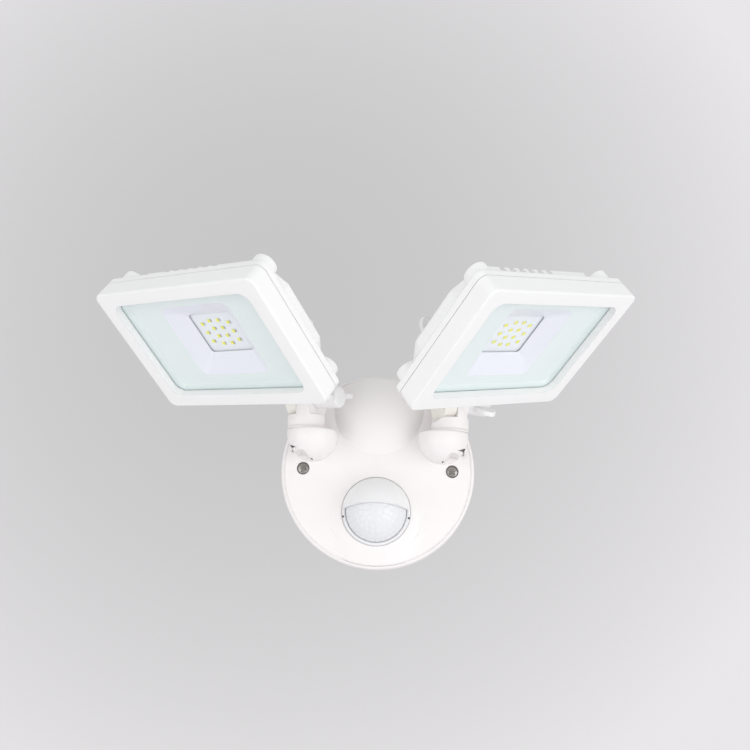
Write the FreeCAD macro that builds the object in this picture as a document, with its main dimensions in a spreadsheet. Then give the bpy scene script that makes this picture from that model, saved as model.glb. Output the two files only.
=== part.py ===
import FreeCAD, Part
import math
import os
import re
import Sketcher

# Twin-head security floodlight with a motion sensor, for a wall. Millimetres.
# X runs to the viewer's right, the wall is the plane y = 0, the light faces -Y and +Z is up.
# The origin is the centre of the round base, on the wall.

SIZES = [
    # the round base
    ("base_radius", 70, "outer radius of the base"),
    ("base_wall", 2.5, "wall of the front cover"),
    ("base_depth", 22, "from the wall to the cover's rim"),
    ("skirt_back", 1, "gap between the skirt and the wall"),
    ("rim_round", 2.5, "rounding of the rim"),
    ("rim_groove", 0.5, "radius of the fine groove inside the rim"),
    ("face_rise", 4, "crown of the cover's face"),
    ("bulge_radius", 31, "radius of the upper bulge at its foot"),
    ("bulge_rise", 9, "height of the upper bulge"),
    ("bulge_seat", 24.5, "depth of the bulge's foot"),
    ("bulge_height", 40.5, "height of the bulge's centre"),
    ("fairing_width", 43, "half width of the raised form round the sensor"),
    ("fairing_height", 53, "half height of that form"),
    ("fairing_depth", 18, "half depth of that form"),
    ("fairing_seat", 12, "depth of its centre"),
    ("turn_gap", 0.2, "gap between faces that turn on each other"),
    ("seat_gap", 0.1, "gap under a piece that sits on another"),
    ("shaft_fit", 0.06, "radial clearance round a shaft"),
    # cups that carry the posts
    ("post_spacing", 51.3, "from the centre line to each post"),
    ("post_reach", 40, "from the wall to the posts"),
    ("post_radius", 13.2, "radius of the posts and their ears"),
    ("cup_radius", 17.6, "radius of the rounded cups"),
    ("cup_height", 23.4, "height of the cups' round centres"),
    ("cup_rim", 26, "height of the cups' rims"),
    ("cup_round", 1.5, "rounding of the cups' rims"),
    ("collar_radius", 14.4, "radius of the raised collar on the cup"),
    ("collar_rise", 1.6, "height of that collar"),
    ("cavity_radius", 11, "radius of the room for the nut in the cup"),
    ("cavity_floor", 12.5, "height of that room's floor"),
    ("cavity_roof", 22.5, "height of that room's roof"),
    # cover screws
    ("screw_inset", 16.1, "from the base's edge in to each cover screw"),
    ("screw_height", 0.8, "height of the cover screws"),
    ("screw_radius", 2, "radius of the cover screws' shanks"),
    ("screw_head", 4.3, "radius of their heads"),
    ("screw_head_thick", 2.8, "thickness of their heads"),
    ("screw_sink", 3.2, "depth of their counterbores below the face"),
    ("channel_radius", 5.3, "radius of the driver channel through the cup"),
    ("channel_top", 5.5, "height of the channel's upper centre"),
    ("screw_boss", 7.4, "radius of the boss behind each counterbore"),
    ("pillar_radius", 5, "radius of the screw pillars on the back plate"),
    ("slot_width", 1.2, "width of the drives' slots"),
    ("slot_deep", 1.2, "depth of the drives' slots"),
    ("slot_share", 0.65, "length of a drive's slots as a share of the head"),
    # back plate
    ("plate_thick", 4, "thickness of the back plate"),
    ("seal_width", 2.4, "width of the seal round the plate"),
    ("seal_thick", 2.6, "thickness of that seal"),
    ("gasket_inset", 12, "from the base's edge in to the wall gasket's inner edge"),
    ("gasket_width", 4, "width of the wall gasket"),
    ("gasket_thick", 1.5, "thickness of the wall gasket"),
    ("entry_radius", 8, "radius of the cable entry"),
    ("grommet_wall", 2, "wall of the cable grommet"),
    ("grommet_lip", 1.3, "how far the grommet stands out"),
    ("slot_spacing", 41.75, "from the centre to the middle of each fixing slot"),
    ("slot_length", 10, "length of the fixing slots"),
    ("slot_radius", 2.3, "half width of the fixing slots"),
    # electronics
    ("board_width", 68, "width of the control board"),
    ("board_height", 40, "height of the control board"),
    ("board_thick", 1.6, "thickness of the circuit boards"),
    ("board_seat", 11, "from the wall to the control board's back"),
    ("board_bottom", 4, "height of the control board's lower edge"),
    ("standoff_radius", 3, "radius of the standoffs"),
    ("standoff_inset", 4, "from the board's edge to a standoff"),
    ("relay_width", 19, "width of the relay"),
    ("relay_length", 15, "length of the relay"),
    ("relay_thick", 12, "height of the relay"),
    ("relay_x", 8, "place of the relay"),
    ("relay_z", 30, "place of the relay"),
    ("capacitor_radius", 5, "radius of the capacitor"),
    ("capacitor_length", 12, "length of the capacitor"),
    ("capacitor_x", 16, "place of the capacitor"),
    ("trimmer_width", 7, "side of the trimmers' bodies"),
    ("trimmer_thick", 4.5, "height of the trimmers' bodies"),
    ("trimmer_x", 24, "place of the trimmers"),
    ("trimmer_z", 12, "place of the trimmers"),
    ("dial_radius", 2.7, "radius of the trimmers' dials"),
    ("dial_thick", 1.8, "thickness of the dials"),
    ("terminal_width", 20, "width of the terminal block"),
    ("terminal_height", 12, "height of the terminal block"),
    ("terminal_depth", 13, "depth of the terminal block"),
    ("terminal_inset", 25, "from the base's edge in to the terminal block's middle"),
    ("terminal_drop", 27, "place of the terminal block"),
    ("terminal_hole", 1.8, "radius of its wire holes"),
    # motion sensor
    ("sensor_drop", 29.5, "from the origin down to the sensor's centre"),
    ("ball_reach", 22, "from the wall to the sensor's centre"),
    ("ball_radius", 24.8, "radius of the sensor ball"),
    ("ball_wall", 1.9, "wall of the sensor ball"),
    ("ball_gap", 0.4, "gap round the sensor ball"),
    ("ball_back", 10, "from the ball's centre to its open back"),
    ("hood_edge", 2.8, "height of the hood's edge above the centre"),
    ("ring_setback", 7, "how far the ring lies before the centre"),
    ("socket_wall", 2.5, "wall of the socket round the ball"),
    ("socket_back", 13, "from the wall to the socket's back edge"),
    ("trunnion_radius", 2, "radius of the ball's trunnions"),
    ("lens_gap", 0.3, "gap between the lens and the ball"),
    ("lens_wall", 1.4, "wall of the lens"),
    ("lens_back", 1.2, "from the centre forward to the lens's edge"),
    ("pyro_radius", 4.6, "radius of the pyroelectric detector"),
    ("pyro_thick", 4.2, "height of the detector"),
    # double knuckle arms
    ("hinge_height", 48, "height of the lower hinges"),
    ("shoulder_height", 36, "height of the posts' shoulders"),
    ("lap_gap", 0.15, "half the gap between lapped knuckles"),
    ("lap_thick", 9, "thickness of a lapped knuckle"),
    ("swing_gap", 0.6, "gap round a knuckle's edge"),
    ("link_radius", 13, "radius of the upper knuckles"),
    ("foot_radius", 14.6, "radius of the lower links' lower knuckles"),
    ("link_length", 44, "between the two hinges of a link"),
    ("web_width", 16, "width of the web behind a knuckle"),
    ("neck_radius", 8, "radius of the links' necks"),
    ("neck_start", 13.8, "from the hinge to the neck"),
    ("swivel_pin", 5, "radius of the pin between the links"),
    ("swivel_depth", 8, "length of that pin"),
    ("spigot_radius", 7, "radius of the posts' spigots"),
    ("spigot_end", 13.5, "height of the spigots' lower ends"),
    ("wire_radius", 3.5, "radius of the wire bore"),
    ("nut_flats", 18, "across the flats of the post nuts"),
    ("nut_thick", 6.3, "thickness of the post nuts"),
    ("bolt_radius", 2.5, "radius of the hinge bolts"),
    ("bolt_head", 4.3, "radius of their heads"),
    ("bolt_head_thick", 2.8, "thickness of their heads"),
    ("head_sink", 3.1, "depth of the recess for a bolt head"),
    ("head_room", 0.3, "gap round a bolt head"),
    ("nut_grip", 12, "length of a bolt in its nut"),
    # wing nuts
    ("hub_radius", 7, "radius of the wing nuts at the foot"),
    ("hub_top", 7.6, "radius of the wing nuts at the top"),
    ("hub_height", 19.5, "height of the wing nuts' hubs"),
    ("hub_round", 2, "rounding of the hubs' tops"),
    ("hub_roof", 5, "thickness of the hubs' closed tops"),
    ("wing_reach", 12.8, "from the axis to a wing's round centre"),
    ("wing_rise", 15.3, "height of that centre"),
    ("wing_round", 5.2, "radius of a wing's round end"),
    ("wing_thick", 3.4, "thickness of a wing"),
    ("wing_foot", 2, "height of a wing's lower edge at the hub"),
    ("wing_lean", 60, "angle of a wing's end to the hub's foot, in degrees"),
    # lamp heads, z runs out of the front face
    ("head_width", 150, "width of a lamp head"),
    ("head_height", 103, "height of a lamp head"),
    ("head_corner", 6, "corner radius of a lamp head"),
    ("bezel_depth", 13.6, "depth of the front frame"),
    ("bezel_round", 1.2, "rounding of the frame's front edge"),
    ("opening_width", 127, "width of the window"),
    ("opening_height", 82, "height of the window"),
    ("opening_corner", 8, "corner radius of the window"),
    ("glass_inset", 5.4, "depth of the glass below the frame"),
    ("glass_thick", 3, "thickness of the glass"),
    ("glass_lap", 4.2, "how far the glass reaches under the frame"),
    ("pocket_gap", 0.3, "gap round the glass"),
    ("seal_lap", 3.2, "width of the glass seal"),
    ("glass_seal_thick", 1.4, "thickness of the glass seal"),
    ("lip_wall", 3.4, "width of the housing's lip"),
    ("part_gap", 0.3, "parting line between frame and housing"),
    ("flange_thick", 4.6, "thickness of the housing's flange"),
    ("slab_width", 130, "width of the raised back"),
    ("slab_height", 86, "height of the raised back"),
    ("slab_flank", 44, "height of its straight flanks"),
    ("slab_end", 106, "width of its top and bottom edges"),
    ("slab_depth", 33, "from the front face to the raised back"),
    ("housing_wall", 5, "wall of the housing"),
    ("room_depth", 19.7, "from the front face to the housing's floor"),
    ("fin_count", 6, "number of grooves between the fins"),
    ("fin_pitch", 9.4, "pitch of the fins"),
    ("fin_gap", 5, "width of a groove"),
    ("fin_first", -33.5, "place of the first groove"),
    ("fin_depth", 10, "depth of the grooves"),
    ("corner_x", 62, "place of the corner bosses"),
    ("corner_y", 42, "place of the corner bosses"),
    ("corner_radius", 8, "radius of the corner bosses"),
    ("corner_depth", 28, "from the front face to the bosses' backs"),
    ("small_screw", 1.5, "radius of the housing screws"),
    ("small_head", 2.9, "radius of their heads"),
    ("small_head_thick", 2, "thickness of their heads"),
    ("frame_boss", 4.6, "radius of the bosses in the frame"),
    ("window_width", 64, "width of the reflector's mouth"),
    ("window_height", 60, "height of the reflector's mouth"),
    ("funnel_width", 40, "width of the reflector's throat"),
    ("funnel_height", 32.8, "height of the reflector's throat"),
    ("funnel_wall", 1.2, "wall of the reflector"),
    ("window_corner", 6, "corner radius of the reflector's mouth"),
    ("funnel_corner", 2.5, "corner radius of the reflector's throat"),
    ("reflector_gap", 1, "gap round the reflector's plate"),
    ("led_board_width", 46, "width of the lamp board"),
    ("led_board_height", 39, "height of the lamp board"),
    ("led_board_hole", 1.3, "radius of the lamp board's screw holes"),
    ("led_board_edge", 1.6, "from the board's edge to those holes"),
    ("chip_width", 3.5, "width of an emitter"),
    ("chip_height", 2.8, "height of an emitter"),
    ("chip_thick", 0.8, "thickness of an emitter"),
    ("chip_column", 8.2, "pitch of the emitters' columns"),
    ("chip_room", 1, "gap between the lamp board and the reflector"),
    ("chip_row", 6.6, "pitch of the emitters in a middle column"),
    ("chip_outer_row", 7.5, "pitch of the emitters in an outer column"),
    ("driver_width", 22, "width of the driver"),
    ("driver_height", 60, "height of the driver"),
    ("driver_depth", 9.6, "depth of the driver"),
    ("driver_x", 35.5, "place of the driver"),
    ("driver_y", 2, "place of the driver"),
    ("driver_room", 1, "gap round the driver"),
    ("lug_drop", 42.5, "from the head's centre down to its hinge"),
    ("lug_depth", 53, "from the front face back to the hinge"),
    ("lug_root", 31, "from the head's centre down to the lug's upper edge"),
    ("lug_foot", 43, "from the head's centre down to the root's lower edge"),
    ("root_depth", 38, "from the front face to the back of the lug's root"),
    ("root_width", 18, "width of the lug's root"),
    # pose of the two arms, in degrees
    ("left_swivel", -29.8, "turn of the left post"),
    ("left_lean", 36.2, "lean of the left link"),
    ("left_twist", -7.8, "twist of the left upper link"),
    ("left_tilt", 16.5, "tilt of the left head"),
    ("right_swivel", 21.3, "turn of the right post"),
    ("right_lean", 25.7, "lean of the right link"),
    ("right_twist", 25.4, "twist of the right upper link"),
    ("right_tilt", 29.3, "tilt of the right head"),
    ("left_lower_wing", 66, "turn of the left lower wing nut"),
    ("left_upper_wing", -39, "turn of the left upper wing nut"),
    ("right_lower_wing", 93, "turn of the right lower wing nut"),
    ("right_upper_wing", -18, "turn of the right upper wing nut"),
]

doc = FreeCAD.newDocument("SecurityLight")
sheet = doc.addObject("Spreadsheet::Sheet", "Sizes")
for row, (name, value, note) in enumerate(SIZES, start=1):
    sheet.set("A%d" % row, note)
    sheet.set("B%d" % row, str(value))
    sheet.setAlias("B%d" % row, name)
doc.recompute()

NAMES = {name for name, value, note in SIZES}
V = FreeCAD.Vector
NODES = []

# directions that a primitive's own Z axis can be turned to
TURNS = {
    "X": (V(0, 1, 0), 90),
    "-X": (V(0, 1, 0), -90),
    "Y": (V(1, 0, 0), -90),
    "-Y": (V(1, 0, 0), 90),
    "Z": (V(0, 0, 1), 0),
}


def size(text):
    return float(sheet.evalExpression(str(text)))


def cells(text):
    return re.sub(r"[a-z]\w*", lambda word: "Sizes." + word[0] if word[0] in NAMES else word[0], str(text))


def bind(item, **fields):
    for field, text in fields.items():
        item.setExpression(field, cells(text))
    return item


def put(item, at, along="Z"):
    item.Placement = FreeCAD.Placement(V(), FreeCAD.Rotation(*TURNS[along]))
    for axis, text in zip("xyz", at):
        item.setExpression("Placement.Base." + axis, cells(text))
    return item


def cylinder(radius, height, at, along="Z"):
    item = bind(doc.addObject("Part::Cylinder", "Cylinder"), Radius=radius, Height=height)
    return put(item, at, along)


def cone(foot, top, height, at, along="Z"):
    item = bind(doc.addObject("Part::Cone", "Cone"), Radius1=foot, Radius2=top, Height=height)
    return put(item, at, along)


def sphere(radius, at):
    return put(bind(doc.addObject("Part::Sphere", "Sphere"), Radius=radius), at)


def ellipsoid(half_width, half_depth, half_height, at):
    item = doc.addObject("Part::Ellipsoid", "Ellipsoid")
    bind(item, Radius1=half_height, Radius2=half_width, Radius3=half_depth)
    return put(item, at)


def box(x, y, z):
    item = doc.addObject("Part::Box", "Box")
    for field, (low, high) in zip(("Length", "Width", "Height"), (x, y, z)):
        item.setExpression(field, cells("(%s) - (%s)" % (high, low)))
    return put(item, (x[0], y[0], z[0]))


def middle(width, centre="0"):
    return "(%s) - (%s) / 2" % (centre, width), "(%s) + (%s) / 2" % (centre, width)


def fuse(*items):
    item = doc.addObject("Part::MultiFuse", "Fuse")
    item.Shapes = list(items)
    item.Refine = True
    return item


def common(first, second):
    item = doc.addObject("Part::Common", "Common")
    item.Base = first
    item.Tool = second
    return item


def cut(base, *tools):
    item = doc.addObject("Part::Cut", "Cut")
    item.Base = base
    item.Tool = tools[0] if len(tools) == 1 else fuse(*tools)
    return item


def group(*items):
    item = doc.addObject("Part::Compound", "Group")
    item.Links = list(items)
    return item


def rounded(base, radius, picks):
    doc.recompute()
    item = doc.addObject("Part::Fillet", "Fillet")
    item.Base = base
    reach = size(radius)
    item.Edges = [(n, reach, reach) for n, edge in enumerate(base.Shape.Edges, start=1) if picks(edge)]
    return item


def new_body(name):
    return doc.addObject("PartDesign::Body", name)


def new_sketch(body, level):
    # a sketch square to the body's own Z axis, at the height level
    plane = [item for item in body.Origin.OriginFeatures if item.Role == "XY_Plane"][0]
    sketch = body.newObject("Sketcher::SketchObject", "Sketch")
    sketch.AttachmentSupport = [(plane, "")]
    sketch.MapMode = "FlatFace"
    sketch.setExpression("AttachmentOffset.Base.z", cells(level))
    return sketch


def constrain(sketch, kind, where, text):
    index = sketch.addConstraint(Sketcher.Constraint(kind, *where, size(text)))
    name = "size%d" % index
    sketch.renameConstraint(index, name)
    sketch.setExpression("Constraints." + name, cells(text))


def polygon(body, level, points):
    sketch = new_sketch(body, level)
    spots = [V(size(x), size(y), 0) for x, y in points]
    last = len(spots) - 1
    for n, spot in enumerate(spots):
        sketch.addGeometry(Part.LineSegment(spot, spots[n - last]), False)
    for n in range(len(spots)):
        sketch.addConstraint(Sketcher.Constraint("Coincident", n, 2, (n + 1) % len(spots), 1))
    for n, (x, y) in enumerate(points):
        constrain(sketch, "DistanceX", (-1, 1, n, 1), x)
        constrain(sketch, "DistanceY", (-1, 1, n, 1), y)
    return sketch


def round_rectangle(body, level, width, height, corner):
    sketch = new_sketch(body, level)
    x = size(width) / 2
    y = size(height) / 2
    r = size(corner)
    # four sides, clockwise from the top, then the arcs that end each side
    sides = [((r - x, y), (x - r, y)), ((x, y - r), (x, r - y)), ((x - r, -y), (r - x, -y)), ((-x, r - y), (-x, y - r))]
    for start, end in sides:
        sketch.addGeometry(Part.LineSegment(V(*start, 0), V(*end, 0)), False)
    quarter = math.pi / 2
    for n, (cx, cy) in enumerate(((x - r, y - r), (x - r, r - y), (r - x, r - y), (r - x, y - r))):
        circle = Part.Circle(V(cx, cy, 0), V(0, 0, 1), r)
        sketch.addGeometry(Part.ArcOfCircle(circle, -n * quarter, (1 - n) * quarter), False)
    for n in range(4):
        sketch.addConstraint(Sketcher.Constraint("Tangent", n, 2, n + 4, 2))
        sketch.addConstraint(Sketcher.Constraint("Tangent", n + 4, 1, (n + 1) % 4, 1))
    for n, kind in enumerate(("Horizontal", "Vertical", "Horizontal", "Vertical")):
        sketch.addConstraint(Sketcher.Constraint(kind, n))
    for n in (5, 6, 7):
        sketch.addConstraint(Sketcher.Constraint("Equal", 4, n))
    constrain(sketch, "Radius", (4,), corner)
    constrain(sketch, "DistanceY", (-1, 1, 0, 1), "(%s) / 2" % height)
    constrain(sketch, "DistanceX", (-1, 1, 1, 1), "(%s) / 2" % width)
    constrain(sketch, "DistanceY", (2, 1, 0, 2), height)
    constrain(sketch, "DistanceX", (3, 1, 1, 2), width)
    return sketch


def pad(body, sketch, length):
    item = body.newObject("PartDesign::Pad", "Pad")
    item.Profile = sketch
    item.setExpression("Length", cells(length))
    sketch.Visibility = False
    return item


def pocket(body, sketch, length):
    # cuts from the sketch's height downwards
    item = body.newObject("PartDesign::Pocket", "Pocket")
    item.Profile = sketch
    item.setExpression("Length", cells(length))
    return item


def node(name, item, place=None):
    item.Label = name
    if place is not None:
        item.Placement = place
    NODES.append((name, item, place))
    return item


def turn(axis, angle, at=V()):
    return FreeCAD.Placement(at, FreeCAD.Rotation(axis, angle))


# ---- the round base ----

SCREW_X = "(base_radius - screw_inset)"
GASKET_INNER = "(base_radius - gasket_inset)"
TERMINAL_X = "(terminal_inset - base_radius)"
PLATE_RADIUS = "base_radius - base_wall - turn_gap - seal_width - turn_gap"
FACE_FLOOR = "base_depth - base_wall"
SEAT = "base_depth - screw_sink + face_rise * (1 - %s^2 / (base_radius - rim_round)^2)" % SCREW_X


def cap(radius, rise, seat, height, inset, clip):
    # a spherical cap that faces -Y and is cut off at the clip radius round the base's axis
    curve = "((%s)^2 + (%s)^2) / (2 * (%s))" % (radius, rise, rise)
    ball = sphere("%s - (%s)" % (curve, inset), ("0", "%s - (%s) - (%s)" % (curve, seat, rise), height))
    return common(ball, cylinder(clip, "base_depth", ("0", "skirt_back - (%s)" % FACE_FLOOR, "0"), "-Y"))


def face_forms(inset, clip):
    # the crowned face, the upper bulge and the form round the sensor, each set in by inset
    forms = [
        cap("base_radius - rim_round", "face_rise", "base_depth", "0", inset, clip),
        cap("bulge_radius", "bulge_rise", "bulge_seat", "bulge_height", inset, clip),
    ]
    fairing = ellipsoid("fairing_width - (%s)" % inset, "fairing_depth - (%s)" % inset,
                        "fairing_height - (%s)" % inset, ("0", "-fairing_seat", "-sensor_drop"))
    forms.append(common(fairing, cylinder(clip, "base_depth", ("0", "-fairing_seat", "0"), "-Y")))
    return forms


def cup(side):
    x = "%d * (post_spacing + post_radius - cup_radius)" % side
    depth = "post_reach - base_depth + base_wall"
    low = fuse(sphere("cup_radius", (x, "-post_reach", "cup_height")),
               cylinder("cup_radius", depth, (x, "-post_reach", "cup_height"), "Y"))
    room = box(middle("3 * cup_radius", x), ("-2 * post_reach", "0"), ("-cup_height", "cup_height"))
    high = fuse(cylinder("cup_radius", "cup_rim - cup_height", (x, "-post_reach", "cup_height")),
                box(middle("2 * cup_radius", x), ("-post_reach", "base_wall - base_depth"), ("cup_height", "cup_rim")))
    rim = size("cup_rim")
    front = -size("base_depth") - size("rim_round")
    top = rounded(high, "cup_round", lambda edge: at_level(edge, rim) and edge.BoundBox.YMin < front)
    collar_x = "%d * (post_spacing + post_radius - collar_radius)" % side
    collar = cylinder("collar_radius", "collar_rise", (collar_x, "-post_reach", "cup_rim"))
    return fuse(common(low, room), top, collar)


def at_level(edge, level):
    return abs(edge.BoundBox.ZMin - level) < 1e-6 and abs(edge.BoundBox.ZMax - level) < 1e-6


def cup_cuts(side):
    # the room for the nut, the bore for the post, the driver channel and the screw's holes
    x = "%d * post_spacing" % side
    screw_x = "%d * %s" % (side, SCREW_X)
    tall = "cavity_roof - cavity_floor"
    far = "2 * post_reach"
    return [
        cylinder("cavity_radius", tall, (x, "-post_reach", "cavity_floor")),
        box(middle("2 * cavity_radius", x), ("-post_reach", "base_wall - " + FACE_FLOOR), ("cavity_floor", "cavity_roof")),
        cylinder("spigot_radius + shaft_fit", "2 * cup_rim - cavity_roof", (x, "-post_reach", "cavity_roof - shaft_fit")),
        cylinder("screw_head + head_room", far, (screw_x, "-(%s)" % SEAT, "screw_height"), "-Y"),
        cylinder("screw_radius + shaft_fit", far, (screw_x, "0", "screw_height"), "-Y"),
        cylinder("channel_radius", far, (screw_x, "-base_depth - face_rise / 2", "channel_top"), "-Y"),
        box(middle("2 * channel_radius", screw_x), ("-" + far, "-base_depth - face_rise / 2"),
            ("screw_height", "channel_top")),
    ]


def make_front_cover():
    front = -size("base_depth")
    skirt = cylinder("base_radius", "base_depth - skirt_back", ("0", "-skirt_back", "0"), "-Y")
    skirt = rounded(skirt, "rim_round", lambda edge: abs(edge.BoundBox.YMax - front) < 1e-6)
    outside = fuse(skirt, *face_forms("0", "base_radius - rim_round"), cup(-1), cup(1))
    room = cylinder("base_radius - base_wall", FACE_FLOOR, ("0", "0", "0"), "-Y")
    inside = [room] + face_forms("base_wall", "base_radius - rim_round - base_wall")
    shell = cut(outside, *inside)
    sensor = ("0", "-socket_back", "-sensor_drop")
    lining = cylinder("ball_radius + ball_gap + socket_wall", "post_reach", sensor, "-Y")
    bosses = [cylinder("screw_boss", "post_reach", ("%d * %s" % (side, SCREW_X), "base_wall - (%s)" % SEAT,
                                                    "screw_height"), "-Y") for side in (-1, 1)]
    walls = common(group(lining, *bosses), outside)
    whole = fuse(shell, walls)
    # the ball goes in from behind, as far as the round seat
    opening = fuse(cylinder("ball_radius + ball_gap", "ball_reach", ("0", "0", "-sensor_drop"), "-Y"),
                   sphere("ball_radius + ball_gap", ("0", "-ball_reach", "-sensor_drop")))
    bearing = trunnions("shaft_fit", "turn_gap")
    groove = doc.addObject("Part::Torus", "Torus")
    bind(groove, Radius1="base_radius - rim_round", Radius2="rim_groove")
    put(groove, ("0", "-base_depth", "0"), "-Y")
    return node("front_cover", cut(whole, opening, bearing, groove, *cup_cuts(-1), *cup_cuts(1)))


def make_back_plate():
    plate = cylinder(PLATE_RADIUS, "plate_thick", ("0", "0", "0"), "-Y")
    reach = "(%s) - base_wall - turn_gap" % SEAT
    pillars = []
    holes = [cylinder("entry_radius", "plate_thick", ("0", "0", "0"), "-Y")]
    for side in (-1, 1):
        spot = ("%d * %s" % (side, SCREW_X), "0", "screw_height")
        pillars.append(cylinder("pillar_radius", reach, spot, "-Y"))
        holes.append(cylinder("screw_radius + shaft_fit", reach, spot, "-Y"))
        slot_x = "%d * slot_spacing" % side
        straight = "slot_length - 2 * slot_radius"
        holes.append(box(middle(straight, slot_x), ("-plate_thick", "0"), middle("2 * slot_radius")))
        for end in (-1, 1):
            slot_end = ("%s + %d * (%s) / 2" % (slot_x, end, straight), "0", "0")
            holes.append(cylinder("slot_radius", "plate_thick", slot_end, "-Y"))
        for row in ("board_bottom + standoff_inset", "board_bottom + board_height - standoff_inset"):
            corner = ("%d * (board_width / 2 - standoff_inset)" % side, "0", row)
            pillars.append(cylinder("standoff_radius", "board_seat - seat_gap", corner, "-Y"))
    groove = cut(cylinder(GASKET_INNER + " + gasket_width + seat_gap", "gasket_thick + seat_gap", ("0", "0", "0"), "-Y"),
                 cylinder(GASKET_INNER + " - seat_gap", "2 * gasket_thick", ("0", "0", "0"), "-Y"))
    return node("back_plate", cut(fuse(plate, *pillars), groove, *holes))


def ring(name, outer, inner, thick, at):
    return node(name, cut(cylinder(outer, thick, at, "-Y"), cylinder(inner, thick, at, "-Y")))


def make_rings():
    ring("wall_gasket", GASKET_INNER + " + gasket_width", GASKET_INNER, "gasket_thick", ("0", "0", "0"))
    ring("cover_seal", PLATE_RADIUS + " + turn_gap / 2 + seal_width", PLATE_RADIUS + " + turn_gap / 2",
         "seal_thick", ("0", "-skirt_back", "0"))
    tube = cylinder("entry_radius - seat_gap", "plate_thick + grommet_lip", ("0", "0", "0"), "-Y")
    lip = cylinder("entry_radius + grommet_lip", "grommet_lip", ("0", "-plate_thick - seat_gap", "0"), "-Y")
    bore = cylinder("entry_radius - grommet_wall", "2 * plate_thick", ("0", "0", "0"), "-Y")
    node("cable_grommet", cut(fuse(tube, lip), bore))


def cross_slot(at, along, radius):
    # the two slots of a screw's drive, sunk from the face at
    wide = "2 * slot_share * (%s)" % radius
    x, y, z = at
    if along == "Y":
        deep = (y, "(%s) + slot_deep" % y)
        return [box(middle(wide, x), deep, middle("slot_width", z)), box(middle("slot_width", x), deep, middle(wide, z))]
    deep = ("(%s) - slot_deep" % z, z)
    return [box(middle(wide, x), middle("slot_width", y), deep), box(middle("slot_width", x), middle(wide, y), deep)]


def make_cover_screws():
    screws = []
    for side in (-1, 1):
        x = "%d * %s" % (side, SCREW_X)
        seat = "-(%s)" % SEAT
        head = cylinder("screw_head", "screw_head_thick", (x, seat, "screw_height"), "-Y")
        front = seat + " - screw_head_thick"
        shank = cylinder("screw_radius", "(%s) - plate_thick - seat_gap" % SEAT, (x, seat, "screw_height"), "Y")
        screws.append(cut(fuse(head, shank), *cross_slot((x, front, "screw_height"), "Y", "screw_head")))
    return node("cover_screws", group(*screws))


def make_electronics():
    front = "-board_seat - board_thick"
    board = box(middle("board_width"), (front, "-board_seat"), ("board_bottom", "board_bottom + board_height"))
    node("control_board", board)
    node("relay", box(middle("relay_width", "relay_x"), (front + " - relay_thick", front),
                      middle("relay_length", "relay_z")))
    node("capacitor", cylinder("capacitor_radius", "capacitor_length", ("-capacitor_x", front, "relay_z"), "-Y"))
    cases = []
    for name, side in (("time_dial", -1), ("lux_dial", 1)):
        x = "%d * trimmer_x" % side
        cases.append(box(middle("trimmer_width", x), (front + " - trimmer_thick", front),
                         middle("trimmer_width", "trimmer_z")))
        face = front + " - trimmer_thick - turn_gap - dial_thick"
        dial = cylinder("dial_radius", "dial_thick", (x, face, "trimmer_z"), "Y")
        slot = box(middle("2 * slot_share * dial_radius", x), (face, face + " + dial_thick / 2"), middle("slot_width", "trimmer_z"))
        node(name, cut(dial, slot))
    node("trimmer_cases", group(*cases))
    block = box(middle("terminal_width", TERMINAL_X), ("-plate_thick - seat_gap - terminal_depth", "-plate_thick - seat_gap"),
                middle("terminal_height", "-terminal_drop"))
    holes = []
    for n in (-1, 0, 1):
        x = "%s + %d * terminal_width / 3" % (TERMINAL_X, n)
        holes.append(cylinder("terminal_hole", "terminal_height / 2",
                              (x, "-plate_thick - terminal_depth / 2", "-terminal_drop - terminal_height / 2")))
        holes.append(cylinder("terminal_hole", "terminal_depth / 3",
                              (x, "-plate_thick - seat_gap - terminal_depth", "-terminal_drop + terminal_height / 4"), "Y"))
    node("terminal_block", cut(block, *holes))


def trunnions(radial, end):
    # the sensor ball's cross shaft, grown by a gap for its bearings
    reach = "(ball_radius + ball_gap + socket_wall + %s)" % end
    return cylinder("trunnion_radius + " + radial, "2 * " + reach, ("-" + reach, "-ball_reach", "-sensor_drop"), "X")


def make_sensor():
    centre = ("0", "-ball_reach", "-sensor_drop")
    inner = "ball_radius - ball_wall"
    far = "2 * ball_radius"
    ball = sphere("ball_radius", centre)
    back = box(middle(far), ("ball_back - ball_reach", "ball_back - ball_reach + " + far), middle(far, "-sensor_drop"))
    window = box(middle(far), ("-ball_reach - " + far, "-ball_reach - ring_setback"),
                 ("-sensor_drop - " + far, "hood_edge - sensor_drop"))
    node("sensor_ball", cut(fuse(ball, trunnions("0", "0")), sphere(inner, centre), back, window))
    lens_radius = inner + " - lens_gap"
    keep = box(middle(far), ("-ball_reach - " + far, "-ball_reach - lens_back"), middle(far, "-sensor_drop"))
    dome = cut(sphere(lens_radius, centre), sphere(lens_radius + " - lens_wall", centre))
    node("fresnel_lens", common(dome, keep))
    board_y = "-ball_reach - lens_back + seat_gap + board_thick"
    node("sensor_board", cylinder(lens_radius, "board_thick", ("0", board_y, "-sensor_drop"), "-Y"))
    node("pyro_sensor", cylinder("pyro_radius", "pyro_thick", ("0", board_y + " - board_thick", "-sensor_drop"), "-Y"))


# ---- one arm, in the frames of its own pieces ----

LAP = "(lap_gap + lap_thick / 2)"


def recess(x, along):
    # the room for a bolt head in a knuckle's outer face
    return cylinder("bolt_head + head_room", "head_sink", (x, "0", "0"), along)


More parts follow.
